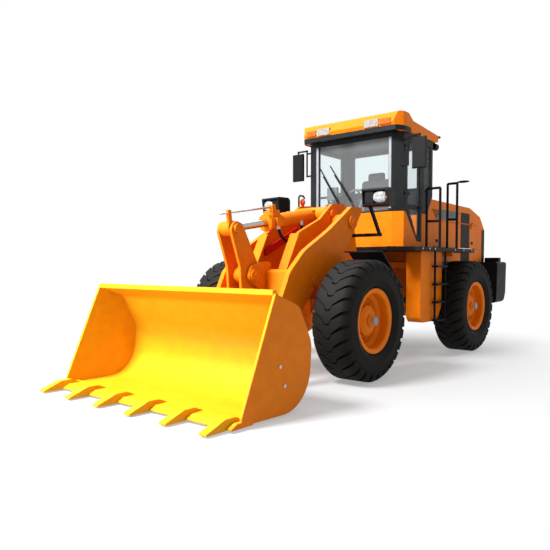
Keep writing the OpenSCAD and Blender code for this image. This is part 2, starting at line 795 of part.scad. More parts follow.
hinge_x = door_front + 8;
hinge_y = cab_w / 2 + 22;
hinge_r = 9;
// First place behind the sweep of the cab door
door_clear = hinge_x - norm([hinge_x - door_rear, hinge_y - cab_w / 2 + cab_wall])
    - rail_r - gap;
hinge_z = [2120, 2720];

// Pins of the door, on the cab
module door_pins() {
    for (z = hinge_z) {
        box(hinge_x - 10, hinge_x + 22, cab_w / 2 - 1, hinge_y + 10, z, z + 24);
        translate([hinge_x, hinge_y, z]) cylinder(r = hinge_r, h = 74);
    }
}

// Knuckles of the door, with a strap each
module door_knuckles() {
    for (z = hinge_z) difference() {
        union() {
            translate([hinge_x, hinge_y, z + 26]) cylinder(r = 15, h = 44);
            box(hinge_x - 80, hinge_x, hinge_y - 14, hinge_y + 6, z + 26, z + 70);
            box(hinge_x - 80, door_front - 12, cab_w / 2 - 1, hinge_y + 6, z + 26, z + 70);
        }
        translate([hinge_x, hinge_y, z]) cylinder(r = hinge_r + fit, h = 100);
    }
}

quarter = [[door_rear - pillar, 2230], [cab_rear + pillar, 2330], [cab_rear + pillar, roof_low - 90],
    [door_rear - pillar, roof_low - 90]];
right_window = [[cab_side_x - 80, sill_z + 20], [cab_rear + pillar, 2330],
    [cab_rear + pillar, roof_low - 90], [cab_side_x - 80, roof_low - 90]];
screen = [[-screen_half + 50, sill_z], [screen_half - 50, sill_z], [screen_half - 50, roof_low - 60],
    [-screen_half + 50, roof_low - 60]];
rear_window = [[-520, 2330], [520, 2330], [520, roof_low - 90], [-520, roof_low - 90]];

module cab_shell() {
    difference() {
        cab_block(0);
        cab_block(cab_wall);
        cross_plate(screen, cab_front - 2 * cab_wall, cab_front + 10);
        cross_plate(rear_window, cab_rear - 10, cab_rear + 2 * cab_wall);
        side_plate(door_outline(0), cab_w / 2 - 2 * cab_wall, cab_w / 2 + 10);
        side_plate(quarter, cab_w / 2 - 2 * cab_wall, cab_w / 2 + 10);
        side_plate(right_window, -cab_w / 2 - 10, -cab_w / 2 + 2 * cab_wall);
    }
}

// Height where the tub ends and the framed upper cab begins
tub_top = sill_z - 20;

module cab_frame() {
    color("#23262a") union() {
        door_pins();
        intersection() {
            cab_shell();
            box(cab_rear - 10, cab_front + 10, -cab_w, cab_w, tub_top, roof_low + 10);
        }
    }
}

module cab_base() {
    color("#d9780f") intersection() {
        cab_shell();
        box(cab_rear - 10, cab_front + 10, -cab_w, cab_w, cab_floor - 10, tub_top);
    }
}

glass_gap = 1;

function inset(p, d) = let (cx = [for (q = p) q[0]], cz = [for (q = p) q[1]],
    mx = (max(cx) + min(cx)) / 2, mz = (max(cz) + min(cz)) / 2)
    [for (q = p) [q[0] + (q[0] > mx ? -d : d), q[1] + (q[1] > mz ? -d : d)]];

module cab_glass() {
    color("#9fb6bd") union() {
        cross_plate(inset(screen, touch), cab_front - cab_wall / 2 - glass_t / 2,
            cab_front - cab_wall / 2 + glass_t / 2);
        cross_plate(inset(rear_window, touch), cab_rear + cab_wall / 2 - glass_t / 2,
            cab_rear + cab_wall / 2 + glass_t / 2);
        side_plate(inset(quarter, touch), cab_w / 2 - cab_wall / 2 - glass_t / 2,
            cab_w / 2 - cab_wall / 2 + glass_t / 2);
        side_plate(inset(right_window, touch), -cab_w / 2 + cab_wall / 2 - glass_t / 2,
            -cab_w / 2 + cab_wall / 2 + glass_t / 2);
    }
}

module cab_door() {
    color("#1d2024") union() {
        difference() {
            side_plate(door_outline(6), cab_w / 2 - cab_wall, cab_w / 2);
            side_plate(door_window, cab_w / 2 - 2 * cab_wall, cab_w / 2 + 10);
            side_plate(door_low_window, cab_w / 2 - 2 * cab_wall, cab_w / 2 + 10);
        }
        door_knuckles();
    }
}

door_window = [[door_front - 60, 2040], [door_rear + 66, 2040], [door_rear + 66, roof_low - 126],
    [door_front - 60, roof_low - 126]];
door_low_window = [[door_front - 240, 1760], [door_front - 320, 1640], [door_rear + 66, 1640],
    [door_rear + 66, 1980], [door_front - 90, 1980]];

module cab_door_glass() {
    color("#9fb6bd") for (w = [door_window, door_low_window])
        side_plate(inset(w, touch), cab_w / 2 - cab_wall / 2 - glass_t / 2,
            cab_w / 2 - cab_wall / 2 + glass_t / 2);
}

module cab_roof() {
    color("#f09010") difference() {
        intersection() {
            side_plate(rounded([[cab_front + 110, roof_low + 30, 20], [cab_front + 150, roof_z - 130,
                30],
                [cab_front + 90, roof_z, 40], [cab_front - 110, roof_z, 30],
                    [cab_front - 240, roof_z - 75, 30],
                [cab_rear - 175, roof_z - 130, 30], [cab_rear - 175, roof_low + 20, 20],
                    [cab_rear - 40, roof_low + touch, 20],
                [cab_front + 90, roof_low + touch, 10]]), -cab_w, cab_w);
            translate([0, 0, roof_low - 10]) linear_extrude(400)
                polygon(rounded([[cab_front + 180, -680, 60],
                [cab_front + 180, 680, 60], [cab_front + 10, cab_w / 2 + 40, 60],
                    [cab_rear - 180, cab_w / 2 + 10, 40],
                [cab_rear - 180, -cab_w / 2 - 10, 40], [cab_front + 10, -cab_w / 2 - 40, 60]]));
        }
        // Hollow over the cab's ceiling
        box(cab_rear, cab_front - 240, -cab_w / 2 + 40, cab_w / 2 - 40, roof_low, roof_z - 165);
        box(cab_front - 250, cab_front + 60, -cab_w / 2 + 110, cab_w / 2 - 110, roof_low, roof_z - 125);
        roof_lamp_boxes(touch);
    }
}

module roof_lamp_boxes(d) {
    both() box(cab_front + 100 - d, cab_front + 200, 270 - d, 480 + d, roof_z - 165 - d,
        roof_z - 75 + d);
}

module roof_lamps() {
    color("#e8e8e8") intersection() {
        roof_lamp_boxes(0);
        box(cab_front, cab_front + 152, -600, 600, roof_low, roof_z);
    }
}

module seat() {
    color("#202022") union() {
        box(cab_front - 650, cab_front - 280, -240, 240, 1920, 2030);
        box(cab_front - 700, cab_front - 590, -230, 230, 2030 - 1, 2560);
        box(cab_front - 600, cab_front - 360, -170, 170, cab_floor + cab_wall + touch, 1921);
    }
}

module steering_console() {
    color("#2b2b2b") union() {
        box(cab_front - 220, cab_front - 90, -130, 130, cab_floor + cab_wall + touch, 2020);
        translate([cab_front - 190, 0, 2010]) rotate([0, -30, 0]) {
            cylinder(r = 26, h = 200);
            translate([0, 0, 190]) rotate_extrude() translate([190, 0]) circle(r = 16, $fn = 24);
            for (a = [0:120:240]) rotate([0, 0, a]) box(0, 190, -12, 12, 184, 196);
        }
    }
}

mirror_x = cab_front - 52;
mirror_post = cab_w / 2 + 60;

module mirrors() {
    color("#151515") both() difference() {
        union() {
            side_plate(rounded([[mirror_x - 20, 2460, 15], [mirror_x + 20, 2460, 15],
                [mirror_x + 20, 2850, 15],
                [mirror_x - 20, 2850, 15]]), 865, 1045);
            for (z = [2520, 2840]) translate([mirror_x, screen_half + 40, z]) rotate([-90, 0, 0])
                cylinder(r = 12, h = mirror_post - screen_half - 40);
            translate([mirror_x, mirror_post, 2508]) cylinder(r = 12, h = 384);
            translate([mirror_x, mirror_post - 12, 2880]) rotate([-90, 0, 0]) cylinder(r = 12, h = 180);
            translate([mirror_x, mirror_post + 155, 2840]) cylinder(r = 12, h = 52);
        }
        cab_block(0);
    }
}

// Hood

hood_front = cab_notch_x - 14;
hood_front_top = pivot_x - 944;
hood_rear = -rear_reach + 130;
hood_low = 1300;
beam_top = hood_low - 10;

function hood_outline(d) = [[hood_front - d, hood_low - (d > 0 ? 50 : 0)],
    [hood_front - d, 1924 - d * 0.4], [hood_front_top - d, hood_top - d],
    [-rear_reach + 780, hood_top - 20 - d], [-rear_reach + 330 + d * 0.5, hood_top - 140 - d],
    [hood_rear + d, 1850], [hood_rear + d, hood_low - (d > 0 ? 50 : 0)]];

hood_door_front = hood_front_top - 60;
hood_door_rear = hood_rear + 330;
hood_door_low = deck_top + 20;
hood_door_top = 1900;

hood_vent_x = [hood_front_top - 760, hood_front_top - 130];
hood_vent_z = 1946;

module hood() {
    color("#d9780f") union() {
    both() hood_door_pins();
    difference() {
        side_plate(hood_outline(0), -hood_w / 2, hood_w / 2);
        side_plate(hood_outline(hood_t), -hood_w / 2 + hood_t, hood_w / 2 - hood_t);
        both() box(hood_door_rear, hood_door_front, hood_w / 2 - 2 * hood_t, hood_w / 2 + 1,
            hood_door_low, hood_door_top);
        // Louvres above the doors
        both() for (k = [0:4]) box(hood_vent_x[0] + k * 30, hood_vent_x[1] + k * 30,
            hood_w / 2 - 2 * hood_t,
            hood_w / 2 + 1, hood_vent_z + k * 24, hood_vent_z + k * 24 + 12);
        // Way for the air through the tail
        box(hood_rear - 10, hood_rear + 2 * hood_t, -440, 440, hood_low + 60, 1800);
    }
    }
}

hood_hinge_y = hood_w / 2 + 14;
hood_hinge_z = hood_door_top + 4;
hood_hinge_x = [hood_door_rear + 200, hood_door_front - 300];

// Pins along the top of the hood's doors, drawn for the left one
module hood_door_pins() {
    for (x = hood_hinge_x) {
        box(x, x + 24, hood_w / 2 - 1, hood_hinge_y + 8, hood_hinge_z - 8, hood_hinge_z + 30);
        translate([x, hood_hinge_y, hood_hinge_z]) rotate([0, 90, 0]) cylinder(r = 6, h = 84);
    }
}

module hood_door_knuckles() {
    for (x = hood_hinge_x) difference() {
        union() {
            translate([x + 28, hood_hinge_y, hood_hinge_z]) rotate([0, 90, 0]) cylinder(r = 11, h = 52);
            box(x + 28, x + 80, hood_w / 2 + 4, hood_hinge_y + 4, hood_hinge_z - 60, hood_hinge_z);
            box(x + 28, x + 80, hood_w / 2 - 1, hood_hinge_y + 4, hood_hinge_z - 60, hood_hinge_z - 16);
        }
        translate([x, hood_hinge_y, hood_hinge_z]) rotate([0, 90, 0]) cylinder(r = 6 + fit, h = 100);
    }
}

module hood_door(side) {
    color("#cf720d") mirror([0, side > 0 ? 0 : 1, 0]) union() {
        box(hood_door_rear + 6, hood_door_front - 6, hood_w / 2 - hood_t, hood_w / 2,
            hood_door_low + 6, hood_door_top - 6);
        hood_door_knuckles();
    }
}

module hood_grille() {
    color("#151515") difference() {
        box(hood_rear, hood_rear + hood_t, -440 + touch, 440 - touch, hood_low + 60 + touch,
            1800 - touch);
        for (z = [hood_low + 90:44:1770]) box(hood_rear - 1, hood_rear + hood_t + 1, -410, 410, z,
            z + 22);
    }
}

place() rear_frame();
place() rear_axle();
place() counterweight();
place() hood();
place() hood_grille();
place() hood_door(1);  // hood_door_left
place() hood_door(-1);  // hood_door_right
place() engine();
place() tanks();
place() deck();
place() ladders();
place() handrails();
place() cab_frame();
place() cab_base();
place() cab_roof();
place() cab_glass();
place() cab_door();
place() cab_door_glass();
place() seat();
place() steering_console();
place() roof_lamps();
place() mirrors();
place() front_frame();
place() front_axle();
place() front_fenders();
place() headlamps();
place() boom();
place() bell_crank();
place() bucket_link();
place() bucket();
place() bucket_teeth();
place() tilt_barrel();
place() tilt_rod();
place() lift_barrel(1);  // lift_barrel_left
place() lift_barrel(-1);  // lift_barrel_right
place() lift_rod(1);  // lift_rod_left
place() lift_rod(-1);  // lift_rod_right
place() steer_barrel(1);  // steer_barrel_left
place() steer_barrel(-1);  // steer_barrel_right
place() steer_rod(1);  // steer_rod_left
place() steer_rod(-1);  // steer_rod_right
place() tyre(0, 1);  // tyre_front_left
place() tyre(0, -1);  // tyre_front_right
place() tyre(rear_x, 1);  // tyre_rear_left
place() tyre(rear_x, -1);  // tyre_rear_right
place() rim(0, 1);  // rim_front_left
place() rim(0, -1);  // rim_front_right
place() rim(rear_x, 1);  // rim_rear_left
place() rim(rear_x, -1);  // rim_rear_right
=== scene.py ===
"""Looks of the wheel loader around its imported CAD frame. Metres, +X forward, +Y left, +Z up."""
import json
import math

import bmesh
import bpy
from mathutils import Matrix, Vector


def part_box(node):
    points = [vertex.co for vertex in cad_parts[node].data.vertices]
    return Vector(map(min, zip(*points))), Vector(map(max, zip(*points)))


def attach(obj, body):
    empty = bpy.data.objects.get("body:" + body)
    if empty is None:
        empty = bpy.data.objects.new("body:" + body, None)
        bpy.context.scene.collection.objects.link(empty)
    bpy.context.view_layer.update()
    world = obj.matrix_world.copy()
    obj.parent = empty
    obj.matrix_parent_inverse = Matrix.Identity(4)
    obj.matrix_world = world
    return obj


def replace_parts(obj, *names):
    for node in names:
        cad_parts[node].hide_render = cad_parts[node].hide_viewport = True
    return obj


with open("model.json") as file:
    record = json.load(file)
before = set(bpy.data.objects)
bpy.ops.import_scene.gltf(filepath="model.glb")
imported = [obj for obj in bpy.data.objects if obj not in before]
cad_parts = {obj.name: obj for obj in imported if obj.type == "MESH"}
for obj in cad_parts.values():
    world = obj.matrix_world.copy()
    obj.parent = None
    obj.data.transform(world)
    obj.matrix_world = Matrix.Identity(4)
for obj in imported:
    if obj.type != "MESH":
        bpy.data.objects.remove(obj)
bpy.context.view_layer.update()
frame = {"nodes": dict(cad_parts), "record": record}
FRONT = 1.030        # x of the front axle in the shared frame
CAB_FRONT = -1.250   # from here on, x is given from the front axle, as in the part's source
WHEEL_Y = 0.925      # middle of a wheel
TYRE_R = 0.655
BUCKET_SIDE = 1.250  # outer face of the bucket's side plates
HOOD_IN, HOOD_OUT = 0.6195, 0.625   # a thin plate on the hood's side, from just inside its face
DECK_EDGE = 1.010
SIDES = (("left", 1), ("right", -1))


# Materials

def new_material(name):
    m = bpy.data.materials.new(name)
    m.use_nodes = True
    nodes = m.node_tree.nodes
    return m, nodes, m.node_tree.links, nodes["Principled BSDF"]


def shade_outer_faces(nodes, links, coord, tone, tint):
    """The tone, multiplied by a tint on the outer faces of the side plates, which paints shade on
    them.
    """
    split = nodes.new("ShaderNodeSeparateXYZ")
    links.new(coord.outputs["Object"], split.inputs[0])
    away = nodes.new("ShaderNodeMath")
    away.operation = "ABSOLUTE"
    links.new(split.outputs["Y"], away.inputs[0])
    # Mask of the outer faces of the side plates, where shade is painted.
    shaded_face_mask = nodes.new("ShaderNodeMapRange")
    shaded_face_mask.inputs["From Min"].default_value = BUCKET_SIDE - 0.014
    shaded_face_mask.inputs["From Max"].default_value = BUCKET_SIDE - 0.006
    links.new(away.outputs[0], shaded_face_mask.inputs["Value"])
    mix = nodes.new("ShaderNodeMixRGB")
    mix.blend_type = "MULTIPLY"
    mix.inputs["Color2"].default_value = (*tint, 1)
    links.new(shaded_face_mask.outputs["Result"], mix.inputs["Fac"])
    links.new(tone.outputs["Color"], mix.inputs["Color1"])
    return mix.outputs["Color"]


def paint(name, color, rough=0.34, coat=0.35, mottle=0.06, scale=9.0, bump=0.02, shine=0.4,
          outer=None):
    """Paint on sheet steel: a little uneven in tone and gloss, with a faint orange-peel bump.

    outer is a tint for the outer faces of the bucket's side plates, which paints shade on them."""
    m, nodes, links, bsdf = new_material(name)
    coord = nodes.new("ShaderNodeTexCoord")
    noise = nodes.new("ShaderNodeTexNoise")
    noise.inputs["Scale"].default_value = scale
    noise.inputs["Detail"].default_value = 5.0
    links.new(coord.outputs["Object"], noise.inputs["Vector"])
    tone = nodes.new("ShaderNodeValToRGB")
    dark = [c * (1 - mottle) for c in color]
    light = [min(1, c * (1 + mottle)) for c in color]
    tone.color_ramp.elements[0].position = 0.3
    tone.color_ramp.elements[0].color = (*dark, 1)
    tone.color_ramp.elements[1].position = 0.7
    tone.color_ramp.elements[1].color = (*light, 1)
    links.new(noise.outputs["Fac"], tone.inputs["Fac"])
    if outer:
        links.new(shade_outer_faces(nodes, links, coord, tone, outer), bsdf.inputs["Base Color"])
    else:
        links.new(tone.outputs["Color"], bsdf.inputs["Base Color"])
    gloss = nodes.new("ShaderNodeMapRange")
    gloss.inputs["To Min"].default_value = rough * 0.85
    gloss.inputs["To Max"].default_value = rough * 1.2
    links.new(noise.outputs["Fac"], gloss.inputs["Value"])
    links.new(gloss.outputs["Result"], bsdf.inputs["Roughness"])
    fine = nodes.new("ShaderNodeTexNoise")
    fine.inputs["Scale"].default_value = 320.0
    links.new(coord.outputs["Object"], fine.inputs["Vector"])
    lift = nodes.new("ShaderNodeBump")
    lift.inputs["Strength"].default_value = bump
    lift.inputs["Distance"].default_value = 0.002
    links.new(fine.outputs["Fac"], lift.inputs["Height"])
    edges = nodes.new("ShaderNodeBevel")
    edges.samples = 4
    edges.inputs["Radius"].default_value = 0.008
    links.new(edges.outputs["Normal"], lift.inputs["Normal"])
    links.new(lift.outputs["Normal"], bsdf.inputs["Normal"])
    bsdf.inputs["Specular IOR Level"].default_value = shine
    bsdf.inputs["Coat Weight"].default_value = coat
    bsdf.inputs["Coat Roughness"].default_value = 0.12
    return m


def rubber(name, color):
    """Dull rubber with a fine grain."""
    m, nodes, links, bsdf = new_material(name)
    coord = nodes.new("ShaderNodeTexCoord")
    noise = nodes.new("ShaderNodeTexNoise")
    noise.inputs["Scale"].default_value = 40.0
    noise.inputs["Detail"].default_value = 8.0
    links.new(coord.outputs["Object"], noise.inputs["Vector"])
    tone = nodes.new("ShaderNodeValToRGB")
    tone.color_ramp.elements[0].color = (*[c * 0.75 for c in color], 1)
    tone.color_ramp.elements[1].color = (*[c * 1.35 for c in color], 1)
    links.new(noise.outputs["Fac"], tone.inputs["Fac"])
    links.new(tone.outputs["Color"], bsdf.inputs["Base Color"])
    lift = nodes.new("ShaderNodeBump")
    lift.inputs["Strength"].default_value = 0.25
    lift.inputs["Distance"].default_value = 0.003
    links.new(noise.outputs["Fac"], lift.inputs["Height"])
    links.new(lift.outputs["Normal"], bsdf.inputs["Normal"])
    bsdf.inputs["Roughness"].default_value = 0.72
    bsdf.inputs["Specular IOR Level"].default_value = 0.1
    return m


def glass(name, tint, clear=0.72):
    """Thin pane: mostly clear, with a reflecting surface."""
    m, nodes, links, bsdf = new_material(name)
    out = nodes["Material Output"]
    see = nodes.new("ShaderNodeBsdfTransparent")
    see.inputs["Color"].default_value = (*tint, 1)
    bsdf.inputs["Base Color"].default_value = (*[c * 0.5 for c in tint], 1)
    bsdf.inputs["Roughness"].default_value = 0.03
    mix = nodes.new("ShaderNodeMixShader")
    mix.inputs["Fac"].default_value = 1 - clear
    links.new(see.outputs["BSDF"], mix.inputs[1])
    links.new(bsdf.outputs["BSDF"], mix.inputs[2])
    links.new(mix.outputs["Shader"], out.inputs["Surface"])
    return m


def simple(name, color, rough=0.5, metallic=0.0, scale=60.0, spread=0.12, bump=0.05, shine=0.5):
    """A plain surface, speckled by spread."""
    m, nodes, links, bsdf = new_material(name)
    coord = nodes.new("ShaderNodeTexCoord")
    noise = nodes.new("ShaderNodeTexNoise")
    noise.inputs["Scale"].default_value = scale
    links.new(coord.outputs["Object"], noise.inputs["Vector"])
    tone = nodes.new("ShaderNodeValToRGB")
    tone.color_ramp.elements[0].color = (*[c * (1 - spread) for c in color], 1)
    tone.color_ramp.elements[1].color = (*[min(1, c * (1 + spread)) for c in color], 1)
    links.new(noise.outputs["Fac"], tone.inputs["Fac"])
    links.new(tone.outputs["Color"], bsdf.inputs["Base Color"])
    lift = nodes.new("ShaderNodeBump")
    lift.inputs["Strength"].default_value = bump
    lift.inputs["Distance"].default_value = 0.001
    links.new(noise.outputs["Fac"], lift.inputs["Height"])
    links.new(lift.outputs["Normal"], bsdf.inputs["Normal"])
    bsdf.inputs["Roughness"].default_value = rough
    bsdf.inputs["Metallic"].default_value = metallic
    bsdf.inputs["Specular IOR Level"].default_value = shine
    return m


LOOK = {
    "orange_paint": paint("orange paint", (0.66, 0.150, 0.002), rough=0.45, coat=0.0, shine=0.08),
    # The bucket's paint is a lit copy of the orange paint, yellower as painted light on its strongly
    # lit inside; outer darkens the outer faces of its side plates back towards the orange, as
    # painted shade.
    "bucket_paint": paint("bucket paint with painted light and shade", (0.60, 0.280, 0.007), rough=0.48, coat=0.0, shine=0.08,
                          outer=(1.0, 0.54, 0.50)),
    "black_paint": paint("black paint", (0.004, 0.004, 0.0045), rough=0.5, coat=0.0, shine=0.10),
    "cab_grey": paint("cab grey paint", (0.006, 0.007, 0.008), rough=0.42, coat=0.0, shine=0.12),
    "clear_glass": glass("cab glass", (0.95, 0.98, 0.985), clear=0.92),
    "lamp_lens": simple("lamp lens", (0.22, 0.21, 0.19), rough=0.12, scale=46.0, spread=0.9,
                        bump=0.5, shine=0.2),
    "tyre_rubber": rubber("tyre rubber", (0.0075, 0.0068, 0.0062)),
    "bright_rod": simple("rod chrome", (0.42, 0.41, 0.40), rough=0.2, metallic=1.0, bump=0.0),
    "engine_iron": simple("engine iron", (0.10, 0.10, 0.105), rough=0.6, metallic=0.4),
    "seat_cover": simple("seat cloth", (0.03, 0.03, 0.034), rough=0.9, scale=400.0, bump=0.4),
    "dark_plastic": simple("dark plastic", (0.075, 0.080, 0.085), rough=0.45),
}
AMBER = simple("amber lens", (0.52, 0.075, 0.004), rough=0.15, scale=38.0, spread=0.5)
RED = paint("red paint", (0.45, 0.010, 0.008), coat=0.0, shine=0.1)
# Pale grey: a painted highlight on the front pillars, and the colour of the hub caps.
PALE_AND_HIGHLIGHT = paint("pale grey and pillar highlight", (0.20, 0.21, 0.23), rough=0.4, coat=0.0)
TAIL = simple("tail lens", (0.45, 0.01, 0.01), rough=0.15)
LENS = simple("clear lamp lens", (0.24, 0.24, 0.25), rough=0.10, scale=45.0, spread=0.95,
              bump=0.6, shine=0.3)
STEEL = simple("plated steel", (0.45, 0.45, 0.46), rough=0.3, metallic=0.8)
HOSE = rubber("hose rubber", (0.010, 0.010, 0.010))
MIRROR = simple("mirror glass", (0.85, 0.87, 0.90), rough=0.03, metallic=1.0, spread=0.0,
                bump=0.0)


def dress_frame():
    for part in frame["record"]["subparts"]:
        node = frame["nodes"][part["node"]]
        node.data.materials.clear()
        node.data.materials.append(LOOK[part["material_slot"]])


# Making pieces

def at(x, y, z):
    """A point given from the front axle, as in the part's source."""
    return Vector((FRONT + x, y, z))


def keep(o, body, look, material=None):
    o.data.materials.append(material or LOOK[look])
    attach(o, body)
    return o


def piece(name, bm, body, look, material=None, smooth=False):
    mesh = bpy.data.meshes.new(name)
    bmesh.ops.recalc_face_normals(bm, faces=bm.faces)
    for face in bm.faces:
        face.smooth = smooth
    bm.to_mesh(mesh)
    bm.free()
    o = bpy.data.objects.new(name, mesh)
    bpy.context.collection.objects.link(o)
    return keep(o, body, look, material)


def add_block(bm, lo, hi, edge=0.004, turn=None):
    """A box with its edges broken."""
    size = [abs(b - a) for a, b in zip(lo, hi)]
    middle = [(a + b) / 2 for a, b in zip(lo, hi)]
    m = Matrix.Translation(middle) @ Matrix.Diagonal((*size, 1))
    made = bmesh.ops.create_cube(bm, size=1.0, matrix=(turn or Matrix.Identity(4)) @ m)
    if edge:
        edges = list({e for v in made["verts"] for e in v.link_edges})
        bmesh.ops.bevel(bm, geom=edges, offset=edge, segments=2, profile=0.5, affect="EDGES")


def add_rod(bm, a, b, r, sides=16):
    """A closed round bar from a to b."""
    a, b = Vector(a), Vector(b)
    m = Matrix.Translation((a + b) / 2) @ (b - a).to_track_quat("Z", "Y").to_matrix().to_4x4()
    bmesh.ops.create_cone(bm, cap_ends=True, segments=sides, radius1=r, radius2=r,
                          depth=(b - a).length, matrix=m)


def add_ball(bm, middle, radii, around=24, up=12, turn=None):
    """An ellipsoid."""
    m = Matrix.Translation(middle) @ Matrix.Diagonal((*radii, 1))
    bmesh.ops.create_uvsphere(bm, u_segments=around, v_segments=up, radius=1.0,
                              matrix=(turn or Matrix.Identity(4)) @ m)


def tube(name, points, r, body, look, material=None, bend=0.04):
    """A round tube along points, with its corners bent to a radius."""
    steps, most = 5, 0.45   # of a bend, and its reach as a share of the way to the next point
    path = [Vector(points[0])]
    for before_p, p, after_p in zip(points, points[1:], points[2:]):
        p, u, v = Vector(p), Vector(before_p) - Vector(p), Vector(after_p) - Vector(p)
        reach = min(bend, u.length * most, v.length * most)
        a, b = p + u.normalized() * reach, p + v.normalized() * reach
        for k in range(steps + 1):
            t = k / steps
            path.append(a * (1 - t) ** 2 + p * 2 * t * (1 - t) + b * t * t)
    path.append(Vector(points[-1]))
    data = bpy.data.curves.new(name, "CURVE")
    data.dimensions = "3D"
    data.bevel_depth = r
    data.bevel_resolution = 3
    data.use_fill_caps = True
    spline = data.splines.new("POLY")
    spline.points.add(len(path) - 1)
    for q, p in zip(spline.points, path):
        q.co = (*p, 1)
    o = bpy.data.objects.new(name, data)
    bpy.context.collection.objects.link(o)
    return keep(o, body, look, material)


def pad(name, lo, hi, body, look, crown=0.02):
    """A stuffed cushion: full corners, sides that pull in and a crowned face."""
    bm = bmesh.new()
    bmesh.ops.create_cube(bm, size=2.0)
    bmesh.ops.subdivide_edges(bm, edges=bm.edges[:], cuts=9, use_grid_fill=True)
    half = [(b - a) / 2 for a, b in zip(lo, hi)]
    middle = [(a + b) / 2 for a, b in zip(lo, hi)]
    radius = 0.75 * min(half)
    for v in bm.verts:
        p = Vector([c * h for c, h in zip(v.co, half)])
        core = Vector([max(-(h - radius), min(h - radius, c)) for c, h in zip(p, half)])
        out = p - core
        if out.length > radius:
            p = core + out.normalized() * radius
        thin = min(range(3), key=lambda i: half[i])
        edge = max(abs(v.co[i]) for i in range(3) if i != thin)
        p[thin] *= 1 - crown / half[thin] * edge * edge
        v.co = Vector(middle) + p
    o = piece(name, bm, body, look, smooth=True)
    return o


# Lamps

LAMP = (-0.580, 0.787, 2.040)   # the left headlamp, and in its own axes what is on it
LAMP_TURN = math.radians(8)
COVER_X, COVER_Y, COVER_Z = (0.036, 0.074), (-0.137, -0.022), (-0.072, 0.074)
BOWL_AT, BOWL_RADII = (0.062, 0.060), (0.030, 0.098, 0.070)
AMBER_AT, AMBER_RADII = (0.064, 0.138), (0.022, 0.018, 0.040)


def headlamps():
    """A dark cover on the inner half, a clear lens and an amber end on each headlamp."""
    for name, side in SIDES:
        place = (Matrix.Translation(at(LAMP[0], side * LAMP[1], LAMP[2]))
                 @ Matrix.Rotation(side * LAMP_TURN, 4, "Z"))
        cover = bmesh.new()
        lo, hi = [(x, side * y, z) for x, y, z in zip(COVER_X, COVER_Y, COVER_Z)]
        add_block(cover, lo, hi, 0.006, place)
        piece(f"headlamp_cover_{name}", cover, "front", "black_paint")
        bowl = bmesh.new()
        add_ball(bowl, (BOWL_AT[0], side * BOWL_AT[1], 0), BOWL_RADII, 32, 16, place)
        piece(f"headlamp_lens_{name}", bowl, "front", "lamp_lens", LENS, smooth=True)
        amber = bmesh.new()
        add_ball(amber, (AMBER_AT[0], side * AMBER_AT[1], 0), AMBER_RADII, 20, 12, place)
        piece(f"headlamp_amber_{name}", amber, "front", "lamp_lens", AMBER, smooth=True)


def ribbon(bm, points, y_sign, z0, z1, thick):
    """A thin upright strip along points seen from above, closed at its ends."""
    path = [at(x, y_sign * y, 0) for x, y in points]
    rows = []
    for k, p in enumerate(path):
        way = (path[min(k + 1, len(path) - 1)] - path[max(k - 1, 0)]).normalized()
        out = Vector((way.y, -way.x, 0)) * thick * -y_sign
        corners = ((p, z0), (p, z1), (p + out, z1), (p + out, z0))
        rows.append([bm.verts.new(q + Vector((0, 0, z))) for q, z in corners])
    for a, b in zip(rows, rows[1:]):
        for k in range(4):
            n = (k + 1) % 4
            bm.faces.new((a[k], a[n], b[n], b[k]))
    bm.faces.new(rows[0])
    bm.faces.new(rows[-1])


def roof_edge():
    """Dark edging below the roof's brow, from its middle back along each side."""
    low, high, thick = 2.944, 3.004, 0.006
    front, corner = -1.1215, 0.698
    line = [(front, 0.000), (front, corner), (-1.1250, 0.712), (-1.1360, 0.723),
            (-1.2080, 0.765), (-1.2300, 0.776), (-1.2600, 0.7815), (-1.3200, 0.7820),
            (-1.4200, 0.7790)]
    edge = bmesh.new()
    for _, side in SIDES:
        ribbon(edge, line, side, low, high, thick)
    add_block(edge, at(CAB_FRONT + 0.001, -corner, low - 0.002),
              at(front - 0.0025, corner, low + 0.0055), 0.001)
    piece("roof_edging", edge, "rear", "cab_grey")


def roof_markers():
    """An amber marker at the outer end of the roof lamps on each side."""
    lo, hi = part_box("roof_lamps")
    inner_y = 0.655
    ambers = bmesh.new()
    for _, side in SIDES:
        add_block(ambers, (hi.x - 0.060, side * (hi.y + 0.018), lo.z + 0.006),
                  (hi.x + 0.004, side * inner_y, hi.z - 0.008), 0.008)
    piece("roof_ambers", ambers, "rear", "lamp_lens", AMBER)


def roof_rear():
    """The grab bar and two work lamps at the roof's rear."""
    lo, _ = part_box("cab_roof")
    x, z = lo.x, lo.z + 0.13
    foot, back, bar_r = x + 0.10, x - 0.17, 0.012
    outer_y, inner_y = 0.70, 0.46
    bar = [(foot, outer_y, z - 0.02), (back, outer_y, z - 0.01), (back, inner_y, z - 0.01),
           (foot, inner_y, z - 0.02)]
    tube("roof_grab_bar", bar, bar_r, "rear", "black_paint")
    lamp_y, lamp_z = 0.69, z - 0.17
    stalk_r, lamp_r = 0.012, 0.048
    work = bmesh.new()
    for _, side in SIDES:
        y = side * lamp_y
        add_rod(work, (x + 0.03, y, z - 0.06), (x + 0.03, y, lamp_z + 0.01), stalk_r)
        add_rod(work, (x + 0.06, y, lamp_z), (x - 0.03, y, lamp_z), lamp_r, 24)
    piece("rear_work_lamps", work, "rear", "black_paint")


# Cab

CONSOLE_FOOT, CONSOLE_TOP = 1.57, 1.95
# Blocks right of the seat, each with x from the cab's front, y, z and its broken edge:
# arm rest, its post, screen, console
CONSOLES = (
    ((-0.62, -0.26), (-0.42, -0.28), (1.93, 2.06), 0.015),
    ((-0.60, -0.38), (-0.40, -0.30), (CONSOLE_FOOT, CONSOLE_TOP), 0.010),
    ((-0.17, -0.12), (-0.50, -0.33), (2.16, 2.34), 0.010),
    ((-0.30, -0.06), (-0.52, -0.30), (CONSOLE_FOOT, CONSOLE_TOP), 0.020))


